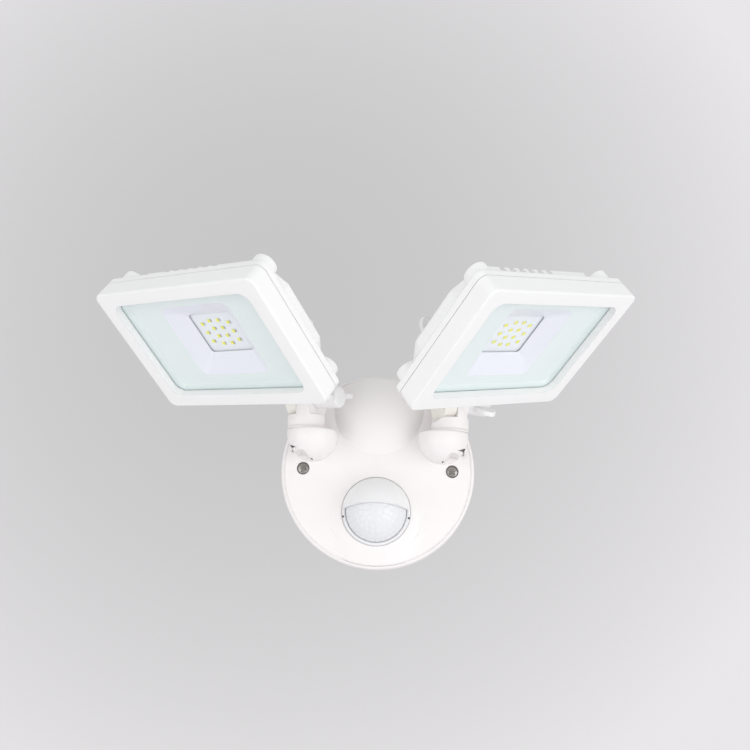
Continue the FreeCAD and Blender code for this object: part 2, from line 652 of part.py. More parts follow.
def make_post(side, place):
    # x runs along the hinge's axis, z up, the origin is on the wall's height zero under the hinge
    foot = "cup_rim + collar_rise + turn_gap"
    top = "shoulder_height - (%s)" % foot
    column = cylinder("post_radius", top, ("0", "0", foot))
    spigot = cylinder("spigot_radius", "(%s) - spigot_end" % foot, ("0", "0", "spigot_end"))
    lap = ("lap_gap", "lap_gap + lap_thick")
    cheek = common(cylinder("post_radius", "hinge_height - (%s)" % foot, ("0", "0", foot)),
                   box(lap, middle("2 * post_radius"), (foot, "hinge_height")))
    ear = cylinder("post_radius", "lap_thick", ("lap_gap", "0", "hinge_height"), "X")
    cradle = cylinder("foot_radius + swing_gap", "post_radius", ("lap_gap", "0", "hinge_height"), "-X")
    bolt = cylinder("bolt_radius + shaft_fit", "2 * post_radius", ("0", "0", "hinge_height"), "X")
    wires = cylinder("wire_radius", "hinge_height", ("0", "0", "0"))
    ear_side = cut(fuse(column, spigot, cheek, ear), cradle, bolt)
    lower = box(middle("2 * post_radius"), middle("2 * post_radius"), ("0", "shoulder_height"))
    node(side + "_post", cut(ear_side, common(wires, lower)), place)


def make_post_nut(side, place):
    body = new_body("PostNut")
    corner = "nut_flats / sqrt(3)"
    points = [(corner, "0"), (corner + " / 2", "nut_flats / 2"), ("-%s / 2" % corner, "nut_flats / 2"),
              ("-" + corner, "0"), ("-%s / 2" % corner, "-nut_flats / 2"), (corner + " / 2", "-nut_flats / 2")]
    level = "cavity_roof - turn_gap - nut_thick"
    pad(body, polygon(body, level, points), "nut_thick")
    bore = cylinder("spigot_radius + shaft_fit", "nut_thick", ("0", "0", level))
    node(side + "_post_nut", cut(body, bore), place)


def knuckle(radius, up):
    # a lapped knuckle on the origin with its web, which points up or down the z axis
    disc = cylinder(radius, "lap_thick", ("-lap_thick / 2", "0", "0"), "X")
    ends = ("0", "neck_start") if up else ("-neck_start", "0")
    return fuse(disc, box(middle("lap_thick"), middle("web_width"), ends))


def make_link_lower(side, place):
    length = "link_length / 2 - seat_gap"
    neck = cylinder("neck_radius", "%s - neck_start" % length, ("0", "0", "neck_start"))
    socket = cylinder("swivel_pin + shaft_fit", "swivel_depth + swivel_pin", ("0", "0", "link_length / 2 - swivel_depth - seat_gap"))
    bolt = cylinder("bolt_radius", "2 * lap_thick", ("-lap_thick", "0", "0"), "X")
    node(side + "_link_lower", cut(fuse(knuckle("foot_radius", True), neck), socket, bolt, recess("-lap_thick / 2", "X")), place)


def make_link_upper(side, place):
    foot = "seat_gap - link_length / 2"
    neck = cylinder("neck_radius", "-neck_start - (%s)" % foot, ("0", "0", foot))
    pin = cylinder("swivel_pin", "swivel_depth", ("0", "0", foot + " - swivel_depth"))
    whole = fuse(knuckle("link_radius", False), neck, pin)
    if side == "left":
        bolt = cylinder("bolt_radius + shaft_fit", "2 * lap_thick", ("-lap_thick", "0", "0"), "X")
        node(side + "_link_upper", cut(whole, bolt), place)
    else:
        bolt = cylinder("bolt_radius", "2 * lap_thick", ("-lap_thick", "0", "0"), "X")
        node(side + "_link_upper", cut(whole, bolt, recess("lap_thick / 2", "-X")), place)


def make_bolt(name, place):
    # the bolt stands on its head's outer face, which lies just inside the recess
    head = cylinder("bolt_head", "bolt_head_thick", ("0", "0", "0"))
    length = "2 * (lap_gap + lap_thick) - head_sink + bolt_head_thick + turn_gap + nut_grip"
    shank = cylinder("bolt_radius", length, ("0", "0", "0"))
    drive = box(middle("2 * slot_share * bolt_head"), middle("slot_width"), ("0", "slot_deep"))
    node(name, cut(fuse(head, shank), drive), place)


def make_wing_nut(name, place):
    # the nut's foot is on the origin and its axis is z, the wings lie along x
    tip = size("hub_height")
    hub = rounded(cone("hub_radius", "hub_top", "hub_height", ("0", "0", "0")), "hub_round", lambda edge: at_level(edge, tip))
    parts = [hub]
    depth = middle("wing_thick")
    for side in (-1, 1):
        x = "%d * wing_reach" % side
        parts.append(cylinder("wing_round", "wing_thick", (x, "-wing_thick / 2", "wing_rise"), "Y"))
        body = new_body("Wing")
        # the web between hub and wing, drawn flat and stood up
        along = "%d * wing_round * cos(wing_lean * 1 deg)" % side
        across = "wing_round * sin(wing_lean * 1 deg)"
        points = [("0", "wing_foot"), ("%s + %s" % (x, along), "wing_rise - " + across),
                  ("%s - %s" % (x, along), "wing_rise + " + across), ("0", "hub_height - hub_round")]
        pad(body, polygon(body, "-wing_thick / 2", points if side > 0 else points[::-1]), "wing_thick")
        body.Placement = turn(V(1, 0, 0), 90)
        parts.append(body)
    bore = cylinder("bolt_radius + shaft_fit", "hub_height - hub_roof", ("0", "0", "0"))
    node(name, cut(fuse(*parts), bore), place)


# ---- one lamp head, z out of its front face, x and y across it ----

GLASS_BACK = "glass_inset + glass_thick"
SLAB_FRONT = "(bezel_depth + part_gap + flange_thick)"


def corner_spots():
    return [("%d * corner_x" % sx, "%d * corner_y" % sy) for sx in (-1, 1) for sy in (-1, 1)]


def make_bezel(side, place):
    body = new_body("Bezel")
    pad(body, round_rectangle(body, "-bezel_depth", "head_width", "head_height", "head_corner"), "bezel_depth")
    pocket(body, round_rectangle(body, "0", "opening_width", "opening_height", "opening_corner"), "bezel_depth")
    width = "opening_width + 2 * (glass_lap + pocket_gap)"
    height = "opening_height + 2 * (glass_lap + pocket_gap)"
    pocket(body, round_rectangle(body, "-glass_inset", width, height, "opening_corner + pocket_gap"),
           "bezel_depth - glass_inset")
    reach = size("head_height") / 2
    frame = rounded(body, "bezel_round", lambda edge: at_level(edge, 0) and on_outline(edge, reach))
    bosses = []
    holes = []
    for x, y in corner_spots():
        start = GLASS_BACK + " + glass_seal_thick + 3 * seat_gap"
        bosses.append(cylinder("frame_boss", "bezel_depth - (%s)" % start, (x, y, "-bezel_depth")))
        holes.append(cylinder("small_screw", "bezel_depth - (%s)" % start, (x, y, "-bezel_depth")))
    node(side + "_bezel", cut(fuse(frame, *bosses), *holes), place)


def on_outline(edge, reach):
    # true for the edges outside the window's half height or half width
    limit = edge.BoundBox
    wide = size("head_width") / 2 - size("head_corner")
    tall = reach - size("head_corner")
    return min(abs(limit.XMin), abs(limit.XMax)) > wide - 1e-6 or min(abs(limit.YMin), abs(limit.YMax)) > tall - 1e-6


def make_glass(side, place):
    width = "opening_width + 2 * glass_lap"
    height = "opening_height + 2 * glass_lap"
    body = new_body("Glass")
    level = "-seat_gap - (%s)" % GLASS_BACK
    pad(body, round_rectangle(body, level, width, height, "opening_corner"), "glass_thick")
    node(side + "_glass", body, place)
    seal = new_body("GlassSeal")
    back = "-(%s) - 2 * seat_gap - glass_seal_thick" % GLASS_BACK
    pad(seal, round_rectangle(seal, back, width, height, "opening_corner"), "glass_seal_thick")
    inner = (width + " - 2 * seal_lap", height + " - 2 * seal_lap")
    pocket(seal, round_rectangle(seal, back + " + glass_seal_thick", *inner, "opening_corner - seal_lap"), "glass_seal_thick")
    node(side + "_glass_seal", seal, place)


def funnel(body, kind, bottom, top, grow):
    # a loft from the throat up to the mouth, both grown by grow
    shapes = []
    for level, name in ((bottom, "funnel"), (top, "window")):
        width, height, corner = ["%s_%s" % (name, part) for part in ("width", "height", "corner")]
        grown = (width + " + 2 * " + grow, height + " + 2 * " + grow, corner + " + " + grow)
        shapes.append(round_rectangle(body, level, *grown))
    item = body.newObject("PartDesign::" + kind, "Loft")
    item.Profile = shapes[0]
    item.Sections = shapes[1:]
    item.Ruled = True


def make_reflector(side, place):
    reach = "2 * (glass_lap - seal_lap - reflector_gap)"
    top = "-(%s) - 2 * seat_gap" % GLASS_BACK
    body = new_body("Reflector")
    pad(body, round_rectangle(body, top + " - funnel_wall", "opening_width + " + reach, "opening_height + " + reach,
                              "opening_corner - seal_lap - reflector_gap"), "funnel_wall")
    throat = "seat_gap + chip_room - room_depth + board_thick"
    funnel(body, "AdditiveLoft", throat, top, "funnel_wall")
    funnel(body, "SubtractiveLoft", throat, top, "0")
    node(side + "_reflector", body, place)


def make_lamp_board(side, place):
    level = "seat_gap - room_depth"
    board = box(middle("led_board_width"), middle("led_board_height"), (level, level + " + board_thick"))
    holes = []
    for n in (-1, 1):
        spot = ("%d * (led_board_width / 2 - led_board_edge)" % n, "%d * (led_board_height / 2 - led_board_edge)" % n, level)
        holes.append(cylinder("led_board_hole", "board_thick", spot))
    node(side + "_led_board", cut(board, *holes), place)
    chips = []
    columns = ((-1.5, (-1, 0, 1), "chip_outer_row"), (-0.5, (-1.5, -0.5, 0.5, 1.5), "chip_row"),
               (0.5, (-1.5, -0.5, 0.5, 1.5), "chip_row"), (1.5, (-1, 0, 1), "chip_outer_row"))
    for column, rows, pitch in columns:
        for row in rows:
            chips.append(box(middle("chip_width", "%g * chip_column" % column), middle("chip_height", "%g * %s" % (row, pitch)),
                             (level + " + board_thick", level + " + board_thick + chip_thick")))
    node(side + "_led_chips", group(*chips), place)


def octagon(body, level, inset):
    wide = "(slab_width / 2 - (%s))" % inset
    tall = "(slab_height / 2 - (%s))" % inset
    flank = "(slab_flank / 2 - (%s) / 2)" % inset
    end = "(slab_end / 2 - (%s) / 2)" % inset
    signs = ((1, 1), (1, -1), (-1, -1), (-1, 1))
    points = []
    for n, (sx, sy) in enumerate(signs):
        pair = [("%d * %s" % (sx, end), "%d * %s" % (sy, tall)), ("%d * %s" % (sx, wide), "%d * %s" % (sy, flank))]
        points += pair if n % 2 == 0 else pair[::-1]
    return polygon(body, level, points)


def make_housing(side, place):
    body = new_body("Housing")
    pad(body, round_rectangle(body, "-" + SLAB_FRONT, "head_width", "head_height", "head_corner"), "flange_thick")
    pad(body, octagon(body, "-slab_depth", "0"), "slab_depth - " + SLAB_FRONT)
    tall = "2 * slab_height"
    grooves = []
    for n in range(int(size("fin_count"))):
        grooves.append(box(middle("fin_gap", "fin_first + %d * fin_pitch" % n), middle(tall), ("-2 * slab_depth", "fin_depth - slab_depth")))
    finned = cut(body, *grooves)
    spots = corner_spots()
    bosses = [cylinder("corner_radius", "corner_depth - " + SLAB_FRONT, (x, y, "-corner_depth")) for x, y in spots]
    root = box(middle("root_width"), ("-lug_foot", "-lug_root"), ("-root_depth", "-" + SLAB_FRONT))
    lug = ("-lap_gap - lap_thick", "-lap_gap")
    web = box(lug, ("-lug_foot", "link_radius - lug_drop"), ("-lug_depth", "-" + SLAB_FRONT))
    disc = cylinder("link_radius", "lap_thick", ("-lap_gap - lap_thick", "-lug_drop", "-lug_depth"), "X")
    start = GLASS_BACK + " + glass_seal_thick + 3 * seat_gap"
    lip_width = "opening_width + 2 * glass_lap"
    lip_height = "opening_height + 2 * glass_lap"
    lip_body = new_body("Lip")
    rise = "bezel_depth + part_gap - (%s)" % start
    pad(lip_body, round_rectangle(lip_body, "-bezel_depth - part_gap", lip_width, lip_height, "opening_corner"), rise)
    pocket(lip_body, round_rectangle(lip_body, "-(%s)" % start, lip_width + " - 2 * lip_wall", lip_height + " - 2 * lip_wall",
                                     "opening_corner - lip_wall"), rise)
    lip = cut(lip_body, *[cylinder("frame_boss + head_room", rise, (x, y, "-bezel_depth - part_gap")) for x, y in spots])
    room_body = new_body("Room")
    pad(room_body, octagon(room_body, "-room_depth", "housing_wall"), "room_depth - bezel_depth")
    driver = box(middle("driver_width + 2 * driver_room", "driver_x"), middle("driver_height + 2 * driver_room", "driver_y"),
                 ("-room_depth - driver_depth - driver_room", "-room_depth"))
    swing = cylinder("link_radius + swing_gap", "2 * lap_thick", ("-lap_gap", "-lug_drop", "-lug_depth"), "X")
    bolt_fit = "bolt_radius" if side == "left" else "bolt_radius + shaft_fit"
    cuts = [room_body, driver, swing, cylinder(bolt_fit, "4 * lap_thick", ("-2 * lap_thick", "-lug_drop", "-lug_depth"), "X")]
    if side == "left":
        cuts.append(cylinder("bolt_head + head_room", "head_sink", ("-lap_gap - lap_thick", "-lug_drop", "-lug_depth"), "X"))
    for x, y in spots:
        cuts.append(cylinder("small_screw + shaft_fit", "corner_depth", (x, y, "-corner_depth")))
        cuts.append(cylinder("small_head + head_room", "small_head_thick", (x, y, "-corner_depth")))
    node(side + "_housing", cut(fuse(finned, lip, root, web, disc, *bosses), *cuts), place)


def make_driver(side, place):
    case = box(middle("driver_width", "driver_x"), middle("driver_height", "driver_y"), ("-room_depth - driver_depth", "-room_depth"))
    node(side + "_driver", group(case), place)


def make_housing_screws(side, place):
    screws = []
    for x, y in corner_spots():
        foot = "small_head_thick - corner_depth"
        head = cylinder("small_head", "small_head_thick - seat_gap", (x, y, foot + " - small_head_thick"))
        reach = "corner_depth - small_head_thick - (%s) - glass_seal_thick - 5 * seat_gap" % GLASS_BACK
        shank = cylinder("small_screw", reach, (x, y, foot + " - seat_gap"))
        screws.append(cut(fuse(head, shank), *cross_slot((x, y, foot + " - small_head_thick + slot_deep"), "Z", "small_head")))
    node(side + "_housing_screws", group(*screws), place)


def make_side(side):
    sign = -1 if side == "left" else 1
    reach = size("post_reach")
    lap = size(LAP)
    post = turn(V(0, 0, 1), size(side + "_swivel"), V(sign * size("post_spacing"), -reach, 0))
    lower = post * turn(V(1, 0, 0), size(side + "_lean"), V(-lap, 0, size("hinge_height")))
    upper = lower * turn(V(0, 0, 1), size(side + "_twist"), V(0, 0, size("link_length")))
    hinge = upper * turn(V(1, 0, 0), size(side + "_tilt"), V(-lap, 0, 0))
    head = hinge * turn(V(1, 0, 0), 90, V(0, -size("lug_depth"), size("lug_drop")))
    make_post(side, post)
    make_post_nut(side, post)
    make_link_lower(side, lower)
    make_link_upper(side, upper)
    stack = size("lap_gap + lap_thick")
    sunk = stack - size("head_sink") + size("bolt_head_thick")
    outer = stack + size("turn_gap")
    along = turn(V(0, 1, 0), 90)
    back = turn(V(0, 1, 0), -90)
    low_axis = lower * turn(V(0, 0, 1), 0, V(lap, 0, 0))
    high_axis = upper * turn(V(0, 0, 1), 0, V(-lap, 0, 0))
    make_bolt(side + "_lower_bolt", low_axis * turn(V(0, 0, 1), 0, V(-sunk, 0, 0)) * along)
    make_wing_nut(side + "_lower_wing_nut", low_axis * turn(V(1, 0, 0), size(side + "_lower_wing"), V(outer, 0, 0)) * along)
    # the upper nuts stand on the sides that face each other
    if side == "left":
        make_bolt(side + "_upper_bolt", hinge * turn(V(0, 0, 1), 0, V(-sunk, 0, 0)) * along)
        make_wing_nut(side + "_upper_wing_nut", high_axis * turn(V(1, 0, 0), size(side + "_upper_wing"), V(outer, 0, 0)) * along)
    else:
        make_bolt(side + "_upper_bolt", high_axis * turn(V(0, 0, 1), 0, V(sunk, 0, 0)) * back)
        make_wing_nut(side + "_upper_wing_nut", high_axis * turn(V(1, 0, 0), size(side + "_upper_wing"), V(-outer, 0, 0)) * back)
    make_bezel(side, head)
    make_glass(side, head)
    make_reflector(side, head)
    make_lamp_board(side, head)
    make_housing(side, head)
    make_driver(side, head)
    make_housing_screws(side, head)


make_front_cover()
make_back_plate()
make_rings()
make_cover_screws()
make_electronics()
make_sensor()
make_side("left")
make_side("right")
doc.recompute()

for name, item, place in NODES:
    if place is not None:
        item.Placement = place
doc.recompute()

faults = [item.Label for item in doc.Objects if "Invalid" in item.State or "Error" in item.State]
for name, item, place in NODES:
    if item.Shape.isNull() or not item.Shape.isValid() or not item.Shape.Solids:
        faults.append(name)
if faults:
    raise RuntimeError("not built: " + ", ".join(faults))

os.makedirs("parts", exist_ok=True)
for name, item, place in NODES:
    item.Shape.exportStep("parts/%s.step" % name)
    print(name, len(item.Shape.Solids), round(item.Shape.Volume, 1))
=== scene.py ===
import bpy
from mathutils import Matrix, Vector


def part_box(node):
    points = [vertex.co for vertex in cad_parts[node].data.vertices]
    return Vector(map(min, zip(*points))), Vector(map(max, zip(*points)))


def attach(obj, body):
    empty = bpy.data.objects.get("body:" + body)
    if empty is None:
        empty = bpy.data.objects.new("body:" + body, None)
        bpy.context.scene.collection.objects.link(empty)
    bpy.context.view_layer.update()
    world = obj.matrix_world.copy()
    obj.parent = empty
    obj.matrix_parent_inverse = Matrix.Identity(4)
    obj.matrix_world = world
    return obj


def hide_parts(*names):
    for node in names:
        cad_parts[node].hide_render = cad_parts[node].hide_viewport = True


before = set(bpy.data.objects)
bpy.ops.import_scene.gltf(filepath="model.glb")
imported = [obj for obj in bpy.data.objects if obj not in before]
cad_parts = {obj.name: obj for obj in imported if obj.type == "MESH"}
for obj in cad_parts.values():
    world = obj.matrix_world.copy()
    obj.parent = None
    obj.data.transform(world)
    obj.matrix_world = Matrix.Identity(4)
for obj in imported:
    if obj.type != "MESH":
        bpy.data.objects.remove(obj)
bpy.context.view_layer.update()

import math

import bpy
import numpy as np
from mathutils import Matrix, Vector

scene = bpy.context.scene
sides = ("left", "right")
mm = 0.001
print("frame loaded:", len(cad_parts), "nodes")


class Wire:
    # wraps one output socket; + - * / add a Math node
    def __init__(self, tree, socket):
        self.tree = tree
        self.socket = socket

    def math(self, operation, *others):
        return self.tree.add("ShaderNodeMath", {"operation": operation}, dict(enumerate((self,) + others)))

    def __add__(self, other):
        return self.math("ADD", other)

    def __sub__(self, other):
        return self.math("SUBTRACT", other)

    def __rsub__(self, other):
        return self.tree.add("ShaderNodeMath", {"operation": "SUBTRACT"}, {0: other, 1: self})

    def __mul__(self, other):
        return self.math("MULTIPLY", other)

    def __truediv__(self, other):
        return self.math("DIVIDE", other)

    __radd__ = __add__
    __rmul__ = __mul__

    def clamped(self):
        return self.tree.add("ShaderNodeClamp", {}, {0: self, 1: 0.0, 2: 1.0})


class Tree:
    # a material's node tree
    def __init__(self, name):
        self.material = bpy.data.materials.new(name)
        self.material.use_nodes = True
        self.nodes = self.material.node_tree.nodes
        self.links = self.material.node_tree.links
        self.nodes.clear()

    def add(self, kind, settings, values, output=0):
        # settings come first, because they change the sockets
        node = self.nodes.new(kind)
        for key, value in settings.items():
            setattr(node, key, value)
        for key, value in values.items():
            if isinstance(value, Wire):
                self.links.new(value.socket, node.inputs[key])
            else:
                node.inputs[key].default_value = value
        return Wire(self, node.outputs[output]) if len(node.outputs) else node

    def place(self):
        return self.add("ShaderNodeTexCoord", {}, {}, "Object")

    def noise(self, scale, detail=2.0, place=None):
        values = {"Vector": place or self.place(), "Scale": scale, "Detail": detail}
        return self.add("ShaderNodeTexNoise", {}, values)

    def mix(self, factor, first, second):
        return self.add("ShaderNodeMix", {"data_type": "RGBA"}, {0: factor, 6: first, 7: second}, 2)

    def bump(self, height, depth, strength=1.0, normal=None):
        values = {"Height": height, "Distance": depth, "Strength": strength}
        if normal is not None:
            values["Normal"] = normal
        return self.add("ShaderNodeBump", {}, values)

    def softEdges(self, radius):
        return self.add("ShaderNodeBevel", {"samples": 4}, {"Radius": radius})

    def surface(self, shader):
        self.add("ShaderNodeOutputMaterial", {}, {"Surface": shader})
        return self.material

    def principled(self, **values):
        sockets = {key.replace("_", " "): value for key, value in values.items()}
        return self.add("ShaderNodeBsdfPrincipled", {}, sockets)


def rgb(red, green, blue):
    # colours are written as they look on screen, 0 to 255
    def linear(value):
        value = value / 255
        return value / 12.92 if value <= 0.04045 else ((value + 0.055) / 1.055) ** 2.4
    return (linear(red), linear(green), linear(blue), 1.0)


# one white coat in two copies: white and shade, for the heads, are painted a little paler than the base's copy, as
# painted light; base and baseShade give the base its warmer tone
powder = {"white": rgb(251, 251, 250), "shade": rgb(247, 247, 246),
          "base": rgb(247, 244, 243), "baseShade": rgb(244, 240, 239),
          "peel": 900, "peelDepth": 0.00003, "drift": 18, "roughness": 0.36, "spread": 0.12, "edge": 0.0006}


def powderCoat(name, colour, shade, settings=powder):
    # fine orange peel over a smooth coat, with a slow drift in tone and gloss
    tree = Tree(name)
    peel = tree.noise(settings["peel"], 3.0)
    drift = tree.noise(settings["drift"], 2.0)
    normal = tree.bump(peel, settings["peelDepth"], 0.5, tree.softEdges(settings["edge"]))
    coat = tree.principled(Base_Color=tree.mix(drift, colour, shade), Normal=normal, Specular_IOR_Level=0.45,
                           Roughness=drift * settings["spread"] + settings["roughness"])
    return tree.surface(coat)


moulded = {"grain": 1600, "depth": 0.00001, "drift": 30, "spread": 0.1, "edge": 0.0004}


def mouldedPlastic(name, colour, shade, roughness, settings=moulded):
    # spark-eroded grain on a moulded skin; the roughness is the middle of its spread
    tree = Tree(name)
    grain = tree.noise(settings["grain"], 2.0)
    drift = tree.noise(settings["drift"], 2.0)
    normal = tree.bump(grain, settings["depth"], 0.4, tree.softEdges(settings["edge"]))
    gloss = grain * settings["spread"] + (roughness - settings["spread"] / 2)
    return tree.surface(tree.principled(Base_Color=tree.mix(drift, colour, shade), Roughness=gloss, Normal=normal))


plated = {"stretch": (0.15, 1.0, 1.0), "depth": 0.00001, "spread": 0.2, "edge": 0.0003}


def plainMetal(name, colour, shade, roughness, scratch=700, metallic=1.0, settings=plated):
    # plated or cast metal: fine scratches stretched along x
    tree = Tree(name)
    stretched = tree.add("ShaderNodeMapping", {}, {"Vector": tree.place(), "Scale": settings["stretch"]})
    lines = tree.noise(scratch, 3.0, stretched)
    normal = tree.bump(lines, settings["depth"], 0.4, tree.softEdges(settings["edge"]))
    gloss = lines * settings["spread"] + (roughness - settings["spread"] / 2)
    return tree.surface(tree.principled(Base_Color=tree.mix(lines, colour, shade), Roughness=gloss,
                                        Metallic=metallic, Normal=normal))


def softRubber(name, colour, shade):
    tree = Tree(name)
    grain = tree.noise(900, 3.0)
    normal = tree.bump(grain, 0.00002, 0.5)
    return tree.surface(tree.principled(Base_Color=tree.mix(grain, colour, shade), Normal=normal,
                                        Roughness=grain * 0.15 + 0.65))


def clearGlass(name):
    # a clear sheet that shows more of its pale tint at a slant, a painted reflection that rises as the glass's
    # reflection would: alpha is 0.05 + 0.5 * facing^5
    tree = Tree(name)
    facing = tree.add("ShaderNodeLayerWeight", {}, {"Blend": 0.5}, "Facing")
    slant = facing * facing
    haze = tree.noise(60, 2.0)
    sheet = tree.principled(Base_Color=rgb(236, 246, 244), Roughness=haze * 0.03 + 0.02, Specular_IOR_Level=0.5,
                            Alpha=slant * slant * facing * 0.5 + 0.05)
    return tree.surface(sheet)


def finish(nodeNames, material):
    for name in nodeNames:
        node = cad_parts[name]
        node.data.materials.clear()
        node.data.materials.append(material)


def both(*names):
    return ["%s_%s" % (side, name) for side in sides for name in names]


# the heads' copy is painted paler, as painted light
litWhiteCoat = powderCoat("litWhiteCoat", powder["white"], powder["shade"])
baseCoat = powderCoat("baseCoat", powder["base"], powder["baseShade"])
ivoryCoat = powderCoat("ivoryCoat", rgb(247, 244, 237), rgb(243, 239, 231))
knobWhite = mouldedPlastic("knobWhite", rgb(247, 247, 246), rgb(243, 243, 243), 0.28)
shellWhite = mouldedPlastic("shellWhite", rgb(244, 244, 244), rgb(240, 240, 241), 0.4)
lensMilk = mouldedPlastic("lensMilk", rgb(238, 239, 240), rgb(230, 232, 234), 0.25)
plateMetal = plainMetal("plateMetal", rgb(200, 202, 205), rgb(188, 190, 194), 0.5, 500, 0.85)
zincSteel = plainMetal("zincSteel", rgb(186, 186, 190), rgb(160, 160, 166), 0.32)
blackRubber = softRubber("blackRubber", rgb(38, 40, 40), rgb(20, 20, 20))
boardGreen = mouldedPlastic("boardGreen", rgb(30, 96, 52), rgb(24, 84, 44), 0.35)
boardWhite = mouldedPlastic("boardWhite", rgb(248, 251, 255), rgb(243, 247, 253), 0.35)
reflectorWhite = mouldedPlastic("reflectorWhite", rgb(248, 248, 255), rgb(243, 244, 254), 0.3)
chipYellow = mouldedPlastic("chipYellow", rgb(255, 252, 96), rgb(250, 244, 84), 0.3)
relayBlue = mouldedPlastic("relayBlue", rgb(38, 62, 130), rgb(34, 56, 120), 0.4)
canBlack = mouldedPlastic("canBlack", rgb(34, 34, 40), rgb(28, 28, 34), 0.3)
trimBlue = mouldedPlastic("trimBlue", rgb(60, 90, 160), rgb(54, 82, 150), 0.4)
dialIvory = mouldedPlastic("dialIvory", rgb(232, 228, 212), rgb(226, 221, 204), 0.4)
terminalGrey = mouldedPlastic("terminalGrey", rgb(222, 222, 218), rgb(214, 214, 210), 0.45)
driverGrey = mouldedPlastic("driverGrey", rgb(92, 94, 98), rgb(82, 84, 88), 0.5)
lampGlass = clearGlass("lampGlass")

finish(["front_cover"] + both("post"), baseCoat)
finish(both("bezel", "housing"), litWhiteCoat)
finish(both("link_lower", "link_upper"), ivoryCoat)
finish(both("lower_wing_nut", "upper_wing_nut"), knobWhite)
finish(["back_plate"], plateMetal)
finish(["cover_screws", "pyro_sensor"], zincSteel)
finish(both("post_nut", "lower_bolt", "upper_bolt", "housing_screws"), zincSteel)
finish(["wall_gasket", "cover_seal", "cable_grommet"] + both("glass_seal"), blackRubber)
finish(["sensor_ball"], shellWhite)
finish(["fresnel_lens"], lensMilk)
finish(["control_board", "sensor_board"], boardGreen)
finish(both("led_board"), boardWhite)
finish(both("led_chips"), chipYellow)
finish(both("reflector"), reflectorWhite)
finish(both("driver"), driverGrey)
finish(both("glass"), lampGlass)
finish(["relay"], relayBlue)
finish(["capacitor"], canBlack)
finish(["trimmer_cases"], trimBlue)
finish(["time_dial", "lux_dial"], dialIvory)
finish(["terminal_block"], terminalGrey)
print("finishes ready")


# curved CAD faces are shown smooth, sharp edges stay sharp
smoothing = {"merge": 1e-6, "sharp": math.radians(28)}


def smoothGroup(settings=smoothing):
    # merges loose corners, shades smooth, and keeps edges that turn more than the sharp angle
    group = bpy.data.node_groups.new("smoothFaces", "GeometryNodeTree")
    group.interface.new_socket("Geometry", in_out="INPUT", socket_type="NodeSocketGeometry")
    group.interface.new_socket("Geometry", in_out="OUTPUT", socket_type="NodeSocketGeometry")
    start = group.nodes.new("NodeGroupInput")
    end = group.nodes.new("NodeGroupOutput")
    merge = group.nodes.new("GeometryNodeMergeByDistance")
    merge.inputs["Distance"].default_value = settings["merge"]
    smooth = group.nodes.new("GeometryNodeSetShadeSmooth")
    sharp = group.nodes.new("GeometryNodeSetShadeSmooth")
    sharp.domain = "EDGE"
    sharp.inputs["Shade Smooth"].default_value = False
    angle = group.nodes.new("GeometryNodeInputMeshEdgeAngle")
    compare = group.nodes.new("FunctionNodeCompare")
    compare.operation = "GREATER_THAN"
    compare.inputs[1].default_value = settings["sharp"]
    group.links.new(start.outputs[0], merge.inputs["Geometry"])
    group.links.new(merge.outputs[0], smooth.inputs["Geometry"])
    group.links.new(smooth.outputs[0], sharp.inputs["Geometry"])
    group.links.new(angle.outputs["Unsigned Angle"], compare.inputs[0])
    group.links.new(compare.outputs[0], sharp.inputs["Selection"])
    group.links.new(sharp.outputs[0], end.inputs[0])
    return group


smoothFaces = smoothGroup()
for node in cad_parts.values():
    modifier = node.modifiers.new("smooth", "NODES")
    modifier.node_group = smoothFaces


def gridFaces(rows, columns, closeRows=False, closeColumns=False):
    # quads between neighbouring points of a rows x columns grid
    index = np.arange(rows * columns).reshape(rows, columns)
    if closeRows:
        index = np.vstack([index, index[:1]])
    if closeColumns:
        index = np.hstack([index, index[:, :1]])
    return np.stack([index[:-1, :-1], index[1:, :-1], index[1:, 1:], index[:-1, 1:]], -1).reshape(-1, 4)


def gridPiece(name, grid, closeRows=False, closeColumns=False, smooth=True):
    faces = gridFaces(grid.shape[0], grid.shape[1], closeRows, closeColumns)
    return meshPiece(name, grid.reshape(-1, 3), faces, smooth)


def meshPiece(name, points, faces, smooth=True):
    mesh = bpy.data.meshes.new(name)
    mesh.from_pydata(points.tolist(), [], faces if isinstance(faces, list) else faces.tolist())
    mesh.polygons.foreach_set("use_smooth", np.full(len(mesh.polygons), smooth))
    mesh.update()
    piece = bpy.data.objects.new(name, mesh)
    scene.collection.objects.link(piece)
    return piece


def roundedOutline(width, height, corner, turns=8):
    # a rectangle with four quarter circles: each corner's centre plus corner * (cos, sin), millimetres
    quarter = math.pi / 2
    angle = np.concatenate([np.linspace(0, quarter, turns) + turn * quarter for turn in range(4)])
    signX = np.repeat((1, -1, -1, 1), turns)
    signY = np.repeat((1, 1, -1, -1), turns)
    x = signX * (width / 2 - corner) + corner * np.cos(angle)
    y = signY * (height / 2 - corner) + corner * np.sin(angle)
    return np.stack([x, y], -1)


def headFrame(side):
    # the glass is a flat slab, so its own spread gives the head's axes: across, up and out of the front
    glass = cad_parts[side + "_glass"]
    points = np.array([vertex.co for vertex in glass.data.vertices])
    middle = (points.min(0) + points.max(0)) / 2
    axes = np.linalg.svd(points - points.mean(0), full_matrices=False)[2]
    across, out = axes[0], axes[2]
    across = across * np.sign(across[0])
    out = out * -np.sign(out[1])
    turned = np.stack([across, np.cross(out, across), out])
    spread = (points - middle) @ turned.T
    return middle + ((spread.min(0) + spread.max(0)) / 2) @ turned, turned


def onHead(side, local):
    # local millimetres, measured from the middle of the glass, to metres in the row's frame
    middle, axes = headFrame(side)
    return middle + (local * mm) @ axes


